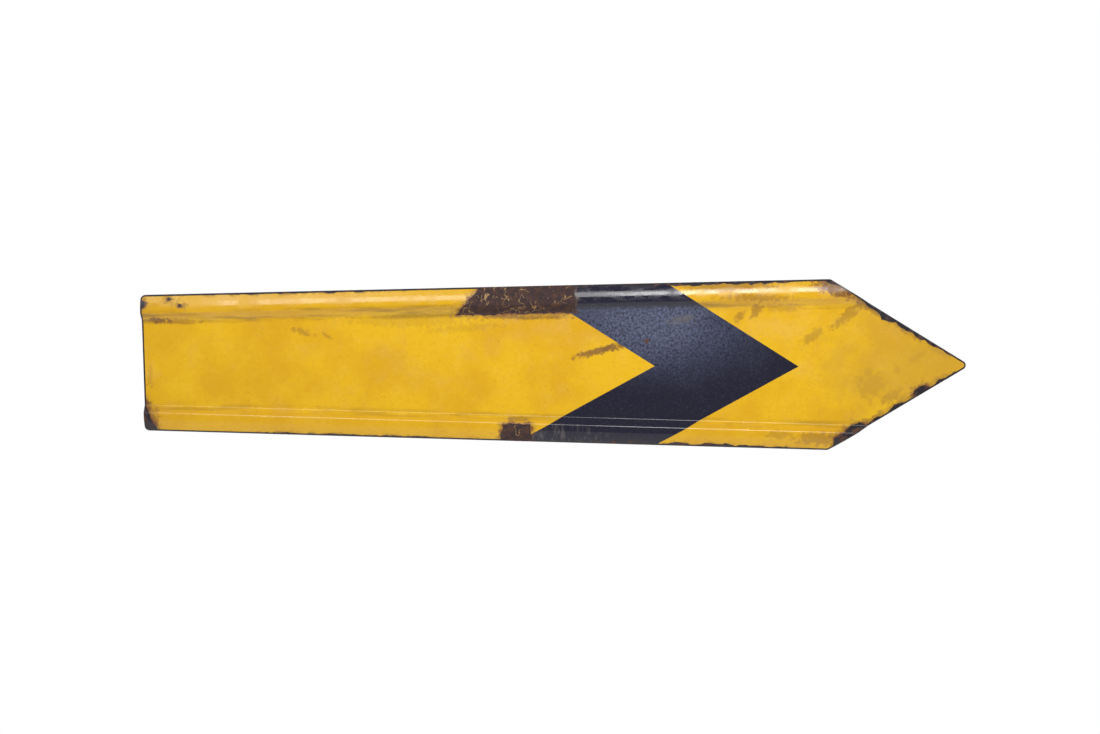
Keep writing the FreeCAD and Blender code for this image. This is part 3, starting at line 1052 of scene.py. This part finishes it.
@dataclass(frozen=True)
class YellowEnamel:
    """Cadmium-yellow vitreous enamel, fired: glassy, a little wavy, its gloss dulled by weather, with
    painted shade on its beads and, with grime, in the creases at their feet.
    """

    form: BladeForm
    fired: str = "#E8B717"
    deep_tone_and_shade: str = "#D29A12"
    bleached: str = "#E0AE58"
    dull: str = "#C99B2E"
    grime_and_shade: str = "#7A5A22"
    stain: str = "#6A4030"
    rust: str = "#7A4824"
    speck: str = "#4A3320"

    def make(self) -> bpy.types.Material:
        """Material of the yellow panels."""
        g = Graph("yellow_vitreous_enamel")
        form = self.form
        top = g.edge_distance(form, 1.0)
        foot = g.edge_distance(form, -1.0)
        colour = g.paint(linear(self.fired), self.deep_tone_and_shade, g.cloud(95.0, 0.40, 0.68, seed=2.0), 0.55)
        colour = g.paint(colour, self.bleached, g.cloud(60.0, 0.50, 0.80, seed=5.0), 0.50)
        colour = g.paint(colour, self.deep_tone_and_shade, g.cloud(6.0, 0.45, 0.75, detail=3.0, seed=8.0), 0.35)
        streaks = g.cloud(12.0, 0.42, 0.70, stretch=(9.0, 1.0, 1.0), seed=3.0)
        # Painted shade: both beads darkened with the deep yellow, as they look where they face away from
        # the light.
        bead_painted_shade = g.both(g.band(top, -5.0, 30.0, 6.0), g.band(foot, -5.0, 30.0, 6.0), "ADD")
        colour = g.paint(colour, self.deep_tone_and_shade, bead_painted_shade, 0.35)
        # Grime and painted shade along the crease where the top bead drops to the field, broken into
        # streaks.
        crease_grime_and_shade = g.both(g.band(top, 27.0, 40.0, 6.0), streaks)
        colour = g.paint(colour, self.grime_and_shade, crease_grime_and_shade, 0.60)
        # Grime and painted shade, lighter, along the crease at the foot bead's inner side.
        colour = g.paint(colour, self.grime_and_shade, g.both(g.band(foot, 34.0, 40.0, 5.0), streaks), 0.35)
        for centre, size, turn, strength in self._stains():
            colour = g.paint(colour, self.stain, g.mark(form.at(*centre), size, turn), strength)
        tip = g.mark(
            form.at(1130.0, 0.0), (230.0, 170.0), ragged=0.35, grain=30.0, soft=0.7
        )
        colour = g.paint(colour, self.dull, tip, 0.65)
        creep = g.creep(0.45, 1.05, 1.0)
        colour = g.paint(colour, self.grime_and_shade, creep, 0.55)
        colour = g.paint(colour, self.rust, g.creep(0.85, 1.25, 4.0), 0.90)
        specks = g.cloud(1.8, 0.70, 0.76, detail=1.0, seed=9.0)
        colour = g.paint(colour, self.speck, g.both(specks, g.cloud(50.0, 0.45, 0.65, seed=11.0)), 0.7)
        dulled = g.both(creep, g.cloud(30.0, 0.3, 0.8, seed=6.0), "ADD")
        rough = g.add("ShaderNodeMapRange", {"Value": dulled, "To Min": 0.09, "To Max": 0.42})
        return g.finish(colour, rough.outputs[0], g.relief(ORANGE_PEEL), GLASS_IOR)

    def _stains(self) -> list[tuple[Point, Point, float, float]]:
        """Stains by place in millimetres, half sizes, turn in degrees and strength."""
        return [
            ((20.0, 62.0), (34.0, 7.0), 0.0, 0.75),
            ((60.0, 60.0), (50.0, 6.0), 0.0, 0.35),
            ((232.0, 46.0), (30.0, 8.0), -14.0, 0.35),
            ((268.0, 40.0), (16.0, 4.0), -35.0, 0.30),
            ((668.0, 20.0), (66.0, 10.0), 15.0, 0.75),
            ((684.0, 26.0), (30.0, 6.0), 24.0, 0.40),
            ((1026.0, 72.0), (48.0, 13.0), 38.0, 0.45),
            ((976.0, 42.0), (34.0, 13.0), 34.0, 0.35),
            ((893.0, 78.0), (20.0, 14.0), 60.0, 0.50),
            ((870.0, 71.0), (18.0, 10.0), 55.0, 0.45),
            ((1062.0, -30.0), (34.0, 38.0), 20.0, 0.32),
            ((1092.0, -46.0), (30.0, 14.0), 30.0, 0.45),
            ((545.0, -98.0), (34.0, 15.0), 0.0, 0.55),
            ((548.0, -80.0), (24.0, 7.0), 0.0, 0.35),
            ((560.0, 68.0), (110.0, 5.0), 0.0, 0.55),
            ((1004.0, 112.0), (56.0, 17.0), -16.0, 0.85),
            ((850.0, 114.0), (120.0, 12.0), 1.5, 0.45),
            ((1058.0, 86.0), (62.0, 13.0), -31.0, 0.60),
            ((1116.0, 50.0), (52.0, 11.0), -31.0, 0.60),
            ((1156.0, 22.0), (24.0, 8.0), -31.0, 0.45),
            ((1062.0, -84.0), (54.0, 13.0), 31.0, 0.60),
            ((1108.0, -54.0), (40.0, 12.0), 31.0, 0.50),
            ((1158.0, -22.0), (28.0, 8.0), 31.0, 0.45),
            ((985.0, -108.0), (56.0, 16.0), 0.0, 0.40),
            ((925.0, -102.0), (34.0, 12.0), 0.0, 0.28),
            ((1040.0, 96.0), (40.0, 16.0), -30.0, 0.30),
            ((890.0, 98.0), (90.0, 9.0), 0.0, 0.40),
            ((380.0, 62.0), (160.0, 14.0), 0.0, 0.16),
            ((470.0, 52.0), (90.0, 10.0), 4.0, 0.16),
            ((930.0, 84.0), (50.0, 12.0), 0.0, 0.22),
            ((1128.0, 12.0), (30.0, 9.0), 35.0, 0.25),
            ((1090.0, 66.0), (60.0, 6.0), -31.0, 0.35),
            ((12.0, -80.0), (22.0, 34.0), 0.0, 0.45),
            ((10.0, -20.0), (8.0, 30.0), 0.0, 0.20),
            ((1100.0, -6.0), (8.0, 12.0), 10.0, 0.25),
        ]


@dataclass(frozen=True)
class BlackEnamel:
    """Manganese-black vitreous enamel: deep and glassy, with a painted bluish reflection over its upper
    field, where its gloss is also dulled.
    """

    form: BladeForm
    fired: str = "#1C1A2C"
    painted_reflection: str = "#666F8C"
    dust: str = "#6A625C"
    rust: str = "#5A3422"

    def make(self) -> bpy.types.Material:
        """Material of the black chevrons."""
        g = Graph("black_vitreous_enamel")
        form = self.form
        foot = g.edge_distance(form, -1.0)
        field_only = g.band(g.edge_distance(form, 1.0), 38.0, 400.0, 8.0)
        # Painted reflection: a soft, mottled bluish reflection laid over the chevron's upper field and
        # kept off the top bead; the same area is also made rougher.
        reflection_area = g.mark(
            form.at(740.0, 66.0), (230.0, 120.0), -8.0, ragged=0.12, grain=60.0, soft=0.85
        )
        reflection_area = g.both(reflection_area, field_only)
        reflection_mottle = g.cloud(3.6, 0.25, 0.75, detail=5.0, seed=3.0)
        colour = g.paint(linear(self.fired), self.painted_reflection, g.both(reflection_area, reflection_mottle), 0.88)
        # Painted reflection: a fine bluish mottle over the whole chevron.
        colour = g.paint(colour, self.painted_reflection, g.cloud(3.0, 0.50, 0.80, detail=3.0, seed=7.0), 0.16)
        smudge = g.mark(form.at(785.0, 66.0), (34.0, 10.0), 12.0)
        colour = g.paint(colour, self.dust, smudge, 0.45)
        streaks = g.cloud(5.0, 0.45, 0.70, stretch=(1.0, 1.0, 7.0), seed=2.0)
        worn = g.both(g.band(foot, -2.0, 26.0, 4.0), streaks)
        root_side = g.mark(form.at(600.0, -104.0), (110.0, 34.0), ragged=0.4)
        colour = g.paint(colour, self.dust, g.both(worn, root_side), 0.50)
        colour = g.paint(colour, self.rust, g.mark(form.at(734.0, 34.0), (5.0, 5.0), ragged=0.2), 0.8)
        creep = g.creep(0.75, 1.25, 2.0)
        upper_bead = g.band(g.edge_distance(form, 1.0), -5.0, 45.0, 10.0)
        scoured = g.cloud(9.0, 0.40, 0.66, stretch=(3.0, 1.0, 1.0), seed=13.0)
        dulled = g.both(reflection_area, g.both(upper_bead, scoured), "ADD")
        colour = g.paint(colour, self.rust, creep, 0.75)
        rough = g.add(
            "ShaderNodeMapRange", {"Value": g.both(dulled, creep, "ADD"), "To Min": 0.07, "To Max": 0.34}
        )
        return g.finish(colour, rough.outputs[0], g.relief(ORANGE_PEEL), GLASS_IOR)


@dataclass(frozen=True)
class WhiteEnamel:
    """Tin-white vitreous enamel, yellowed by age, with rust run down it from the chips."""

    form: BladeForm
    fired: str = "#D9D5C6"
    aged: str = "#C3B894"
    grime_and_shade: str = "#8A7F68"
    rust: str = "#8A5A34"
    burnt: str = "#5A3420"

    def make(self) -> bpy.types.Material:
        """Material of the white panels on the back."""
        g = Graph("white_vitreous_enamel")
        colour = g.paint(linear(self.fired), self.aged, g.cloud(110.0, 0.40, 0.72, seed=1.0), 0.60)
        colour = g.paint(colour, self.grime_and_shade, g.cloud(24.0, 0.55, 0.85, seed=4.0), 0.40)
        top = g.edge_distance(self.form, 1.0)
        foot = g.edge_distance(self.form, -1.0)
        runs = g.cloud(9.0, 0.50, 0.74, stretch=(1.0, 1.0, 8.0), seed=6.0)
        colour = g.paint(colour, self.rust, g.both(g.band(top, 20.0, 70.0, 30.0), runs), 0.35)
        # Grime and painted shade along the crease at the foot of each bead.
        colour = g.paint(colour, self.grime_and_shade, g.band(top, 32.0, 39.0, 7.0), 0.40)
        colour = g.paint(colour, self.grime_and_shade, g.band(foot, 32.0, 39.0, 7.0), 0.50)
        creep = g.creep(0.40, 1.00, 8.0)
        colour = g.paint(colour, self.rust, creep, 0.75)
        colour = g.paint(colour, self.burnt, g.creep(0.85, 1.25, 3.0), 0.90)
        specks = g.cloud(2.0, 0.70, 0.75, detail=1.0, seed=12.0)
        colour = g.paint(colour, self.burnt, specks, 0.6)
        rough = g.add("ShaderNodeMapRange", {"Value": creep, "To Min": 0.28, "To Max": 0.55})
        return g.finish(colour, rough.outputs[0], g.relief(ORANGE_PEEL), GLASS_IOR)


@dataclass(frozen=True)
class GroundEnamel:
    """Cobalt ground coat: blue-black glass that grips the steel, pitted and rust-stained where open."""

    glass: str = "#1B1820"
    worn: str = "#3A3034"
    rust: str = "#5C3620"
    bloom: str = "#8A5A30"

    def make(self) -> bpy.types.Material:
        """Material of the ground coats and the enamelled edge."""
        g = Graph("cobalt_ground_coat")
        colour = g.paint(linear(self.glass), self.worn, g.cloud(14.0, 0.40, 0.70, seed=1.0), 0.7)
        rusty = g.cloud(10.0, 0.52, 0.66, seed=5.0)
        colour = g.paint(colour, self.rust, rusty, 0.85)
        colour = g.paint(colour, self.bloom, g.cloud(4.0, 0.62, 0.74, seed=9.0), 0.6)
        rough = g.add("ShaderNodeMapRange", {"Value": rusty, "To Min": 0.34, "To Max": 0.75})
        normal = g.relief(((8.0, 0.10, 3.0), (2.0, 0.05, 2.0)))
        return g.finish(colour, rough.outputs[0], normal, GLASS_IOR)


@dataclass(frozen=True)
class RustySteel:
    """Mild steel sheet rusted through its scale: dark purple-brown, rough, with lighter bloom."""

    scale_rust: str = "#38292A"
    warm: str = "#54382C"
    bloom: str = "#8E5E34"
    curl: str = "#B08A56"
    ior: float = 1.45

    def make(self) -> bpy.types.Material:
        """Material of the steel where the enamel has gone."""
        g = Graph("rusted_mild_steel")
        colour = g.paint(linear(self.scale_rust), self.warm, g.cloud(9.0, 0.42, 0.66, seed=1.0), 0.7)
        colour = g.paint(colour, self.bloom, g.cloud(3.0, 0.58, 0.72, seed=4.0), 0.6)
        contour = g.add(
            "ShaderNodeTexNoise", {"Vector": g.place, "Scale": 1.0 / (11.0 * MM), "Detail": 1.5}
        )
        offset = g.add("ShaderNodeMath", {0: contour.outputs[0], 1: 0.5}, operation="SUBTRACT")
        size = g.add("ShaderNodeMath", {0: offset.outputs[0]}, operation="ABSOLUTE")
        line = g.add(
            "ShaderNodeMapRange",
            {"Value": size.outputs[0], "From Min": 0.022, "From Max": 0.008},
            interpolation_type="SMOOTHSTEP",
        )
        curls = g.both(line.outputs[0], g.cloud(16.0, 0.48, 0.60, seed=7.0))
        colour = g.paint(colour, self.curl, curls, 0.8)
        rough = g.add("ShaderNodeMapRange", {"Value": curls, "To Min": 0.85, "To Max": 0.6})
        normal = g.relief(((6.0, 0.35, 4.0), (1.8, 0.15, 3.0)))
        return g.finish(colour, rough.outputs[0], normal, self.ior)


# ---------------------------------------------------------------- sub-assemblies


def dress(
    piece: bpy.types.Object,
    name: str,
    material: bpy.types.Material,
    nodes: Sequence[str],
) -> bpy.types.Object:
    """Name a finished piece, smooth it, give it its finish and tie it to the model.

    Args:
        piece: The finished mesh object.
        name: Its name.
        material: Its finish.
        nodes: The model's nodes that it stands for.
    """
    piece.name = name
    piece.data.name = name
    piece.data.materials.clear()
    piece.data.materials.append(material)
    deselect_everything()
    piece.select_set(True)
    bpy.context.view_layer.objects.active = piece
    bpy.ops.object.shade_smooth_by_angle(angle=SMOOTH_ANGLE)
    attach(piece, BODY)
    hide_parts(*nodes)
    log.info("%s: %d faces", name, len(piece.data.polygons))
    return piece


@dataclass
class SteelPressing:
    """The steel sheet, scaled with rust where the front or the back has lost its enamel."""

    form: BladeForm
    damage: Sequence[Damage]
    scale_height: float = 0.00045
    patch_cuts: int = 4

    def build(self) -> bpy.types.Object:
        """Sheet of steel with raised rust where it lies open."""
        form = self.form
        layer = Layer(
            form.cover_coat + form.ground_coat + form.sheet, form.sheet, form.rim_coat
        )
        sheet = PressedSheet(form, layer).build()
        self._raise_rust(sheet)
        return sheet

    def _raise_rust(self, sheet: bpy.types.Object) -> None:
        """Divide the open patches finely and raise their scale out of the sheet."""
        for index, damage in enumerate(self.damage):
            front = 1.0 if index == 0 else -1.0
            for chip in damage.chips:
                if not chip.bare:
                    continue
                places = [self.form.at(*corner) for corner in chip.outline]
                low_x, high_x = min(p[0] for p in places), max(p[0] for p in places)
                low_z, high_z = min(p[1] for p in places), max(p[1] for p in places)

                def inside(centre: Vector, normal: Vector) -> bool:
                    """Whether a face is within the patch's box, on the side that lies open."""
                    if -normal.y * front < 0.3:
                        return False
                    return low_x < centre.x < high_x and low_z < centre.z < high_z

                select_faces(sheet, inside)
                with editing(sheet):
                    bpy.ops.mesh.subdivide(number_cuts=self.patch_cuts)
                self._lift(sheet, (low_x, high_x, low_z, high_z), front)

    def _lift(self, sheet: bpy.types.Object, box: Sequence[float], front: float) -> None:
        """Lift the vertices of one face of the sheet inside a box by a rough noise."""
        low_x, high_x, low_z, high_z = box
        soft = 0.004
        vertices = sheet.data.vertices
        places = np.empty(len(vertices) * 3)
        normals = np.empty(len(vertices) * 3)
        vertices.foreach_get("co", places)
        sheet.data.vertex_normals.foreach_get("vector", normals)
        places = places.reshape(-1, 3)
        normals = normals.reshape(-1, 3)
        for index, ((x, _, z), normal) in enumerate(zip(places, normals)):
            inside = min(x - low_x, high_x - x, z - low_z, high_z - z)
            if inside <= 0.0 or -normal[1] * front < 0.2:
                continue
            rough = noise.fractal(Vector((x, 0.0, z)) / 0.006, 0.8, 2.2, 3)
            lift = self.scale_height * min(1.0, inside / soft) * min(1.0, max(0.0, 0.5 + rough))
            places[index] += normal * lift
        vertices.foreach_set("co", places.ravel())
        sheet.data.update()

    def dress(self) -> None:
        """Build the sheet and give it its finish."""
        dress(self.build(), "pressed_sheet", RustySteel().make(), ["steel_pressing"])


@dataclass
class GroundCoats:
    """The dark ground coats on both faces, and the bead of it round the cut edge."""

    form: BladeForm
    front_damage: Damage
    back_damage: Damage

    def dress(self) -> None:
        """Build the three ground coats and give them their finish."""
        material = GroundEnamel().make()
        form = self.form
        front = form.cover_coat + form.ground_coat * 2.0 + form.sheet
        back = form.cover_coat + form.ground_coat
        faces = (
            ("ground_coat_front_glass", front, self.front_damage, "ground_coat_front"),
            ("ground_coat_back_glass", back, self.back_damage, "ground_coat_back"),
        )
        for name, level, damage, node in faces:
            coat = PressedSheet(form, Layer(level, form.ground_coat, form.rim_coat)).build()
            cutter = damage.cutter(bare_only=True)
            if cutter is not None:
                carve(coat, cutter, "DIFFERENCE")
                discard(cutter)
            dress(coat, name, material, [node])
        dress(self._rim(), "enamelled_edge", material, ["ground_coat_rim"])

    def _rim(self) -> bpy.types.Object:
        """Ring of ground coat round the cut edge, between the two faces."""
        form = self.form
        wall = form.thickness - 2.0 * form.cover_coat
        ring = PressedSheet(form, Layer(wall + form.cover_coat, wall, 0.0)).build()
        core = prism(form.outline(form.rim_coat))
        carve(ring, core, "DIFFERENCE")
        discard(core)
        return ring


@dataclass
class CoverCoat:
    """Cover enamel of one face in its three panels, with the chips broken out of it."""

    form: BladeForm
    damage: Damage
    front: bool
    length_cuts: int = 99
    finishes: dict[Panel, tuple[bpy.types.Material, str]] = field(default_factory=dict)

    def dress(self, names: dict[Panel, tuple[str, str]]) -> None:
        """Build the three panels and give them their finishes.

        Args:
            names: Piece name and node name of each panel.
        """
        form = self.form
        level = form.thickness if self.front else form.cover_coat
        maker = PressedSheet(
            form,
            Layer(level, form.cover_coat, form.cover_inset),
            length_cuts=self.length_cuts,
            field_cuts=22,
        )
        whole = maker.build()
        cutter = self.damage.cutter()
        for panel, (name, node) in names.items():
            coat = copy_of(whole)
            area = prism(form.panel(panel))
            carve(coat, area, "INTERSECT")
            discard(area)
            carve(coat, cutter, "DIFFERENCE")
            self.damage.mark_nearness(coat)
            material, slot = self.finishes[panel]
            dress(coat, name, material, [node])
        discard(whole)
        discard(cutter)


# ---------------------------------------------------------------- studio


@dataclass(frozen=True)
class Softbox:
    """Rectangular soft light: where it stands, what it aims at, its size and its power."""

    name: str
    place: tuple[float, float, float]
    aim: tuple[float, float, float]
    size: tuple[float, float]
    power: float


@dataclass(frozen=True)
class Studio:
    """Pale floor, soft lights and camera round the blade."""

    centre: Vector
    camera_distance: float = 2.35
    camera_rise: float = 4.5
    camera_roll: float = 0.17
    frame_width: float = 1.603
    sensor: float = 36.0
    floor_drop: float = 2.5
    floor_radius: float = 5.0
    floor_glow: float = 0.50
    ambient: float = 0.30

    def set_up(self) -> None:
        """Make the floor, the lights, the surroundings and the camera."""
        self._floor()
        self._surroundings()
        for box in self._softboxes():
            self._light(box)
        self._camera()
        bpy.context.scene.view_settings.view_transform = "Standard"

    def _softboxes(self) -> list[Softbox]:
        """Key above and in front, a low fill, and a wash behind."""
        centre = tuple(self.centre)
        return [
            Softbox("key", (0.70, -1.45, 0.80), centre, (2.1, 0.50), 19.0),
            Softbox("glint", (0.92, -1.45, 0.76), centre, (0.50, 0.34), 4.5),
            Softbox("fill", (-0.60, -1.90, 1.90), centre, (1.2, 1.0), 9.0),
            Softbox("back_wash", (0.40, 2.40, 1.60), centre, (2.0, 1.2), 40.0),
        ]

    def _floor(self) -> None:
        """Round pale floor with a soft lip."""
        bpy.ops.mesh.primitive_circle_add(
            vertices=96,
            radius=self.floor_radius,
            fill_type="NGON",
            location=(self.centre.x, self.centre.y, -self.floor_drop),
        )
        floor = bpy.context.object
        floor.name = "studio_floor"
        settle_place(floor)
        with editing(floor):
            bpy.ops.mesh.select_all(action="SELECT")
            bpy.ops.mesh.inset(thickness=self.floor_radius * 0.1)
        g = Graph("pale_floor")
        g.shader.inputs["Base Color"].default_value = linear("#F2F1EE")
        g.shader.inputs["Roughness"].default_value = 0.9
        g.shader.inputs["Emission Color"].default_value = linear("#FFFFFF")
        g.shader.inputs["Emission Strength"].default_value = self.floor_glow
        floor.data.materials.append(g.material)
        floor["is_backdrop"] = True

    def _surroundings(self) -> None:
        """White surroundings that light the blade more softly than they look."""
        world = bpy.data.worlds.new("studio")
        bpy.context.scene.world = world
        world.use_nodes = True
        tree = world.node_tree
        tree.nodes.clear()
        white = linear("#FFFFFF")
        seen = add_node(tree, "ShaderNodeBackground", {"Color": white, "Strength": 1.0})
        lit = add_node(tree, "ShaderNodeBackground", {"Color": white, "Strength": self.ambient})
        path = add_node(tree, "ShaderNodeLightPath")
        mix = add_node(
            tree,
            "ShaderNodeMixShader",
            {0: path.outputs["Is Camera Ray"], 1: lit.outputs[0], 2: seen.outputs[0]},
        )
        add_node(tree, "ShaderNodeOutputWorld", {"Surface": mix.outputs[0]})

    def _light(self, box: Softbox) -> None:
        """Add one soft light, turned to what it aims at."""
        direction = Vector(box.aim) - Vector(box.place)
        turn = direction.to_track_quat("-Z", "Y").to_euler()
        bpy.ops.object.light_add(type="AREA", location=box.place, rotation=turn)
        light = bpy.context.object
        light.name = box.name
        light.data.shape = "RECTANGLE"
        light.data.size, light.data.size_y = box.size
        light.data.energy = box.power

    def _camera(self) -> None:
        """Camera in front of the blade, a little above it."""
        rise = math.radians(self.camera_rise)
        shift_right, shift_up = 0.0058, 0.0041
        aim = self.centre - Vector((shift_right, 0.0, shift_up))
        away = Vector((0.0, -math.cos(rise), math.sin(rise)))
        bpy.ops.object.camera_add(location=aim + away * self.camera_distance)
        camera = bpy.context.object
        turn = (-away).to_track_quat("-Z", "Y").to_euler()
        camera.rotation_euler = turn
        camera.rotation_euler.rotate_axis("Z", math.radians(self.camera_roll))
        camera.data.sensor_width = self.sensor
        camera.data.lens = self.sensor * self.camera_distance / self.frame_width
        bpy.context.scene.camera = camera


# ---------------------------------------------------------------- building


def main() -> None:
    """Build the blade's pieces in order and set up the studio."""
    logging.basicConfig(level=logging.INFO, format="%(name)s: %(message)s")
    cad_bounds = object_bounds()
    form = BladeForm()
    front = front_damage(form)
    back = back_damage(form)
    centre = (Vector(cad_bounds[0]) + Vector(cad_bounds[1])) / 2.0
    Studio(centre=centre).set_up()

    SteelPressing(form, (front, back)).dress()
    GroundCoats(form, front, back).dress()
    yellow = (YellowEnamel(form).make(), "yellow_enamel")
    black = (BlackEnamel(form).make(), "black_enamel")
    white = (WhiteEnamel(form).make(), "white_enamel")
    CoverCoat(
        form,
        front,
        front=True,
        length_cuts=99,
        finishes={Panel.ROOT: yellow, Panel.CHEVRON: black, Panel.TIP: yellow},
    ).dress(
        {
            Panel.ROOT: ("yellow_root_enamel", "yellow_enamel_root_panel"),
            Panel.CHEVRON: ("black_chevron_enamel", "black_enamel_chevron"),
            Panel.TIP: ("yellow_tip_enamel", "yellow_enamel_tip_panel"),
        }
    )
    CoverCoat(
        form,
        back,
        front=False,
        finishes={Panel.ROOT: white, Panel.CHEVRON: black, Panel.TIP: white},
    ).dress(
        {
            Panel.ROOT: ("white_root_enamel", "white_enamel_back_root_panel"),
            Panel.CHEVRON: ("black_back_chevron_enamel", "black_enamel_back_chevron"),
            Panel.TIP: ("white_tip_enamel", "white_enamel_back_tip_panel"),
        }
    )


if __name__ == "__main__":
    main()
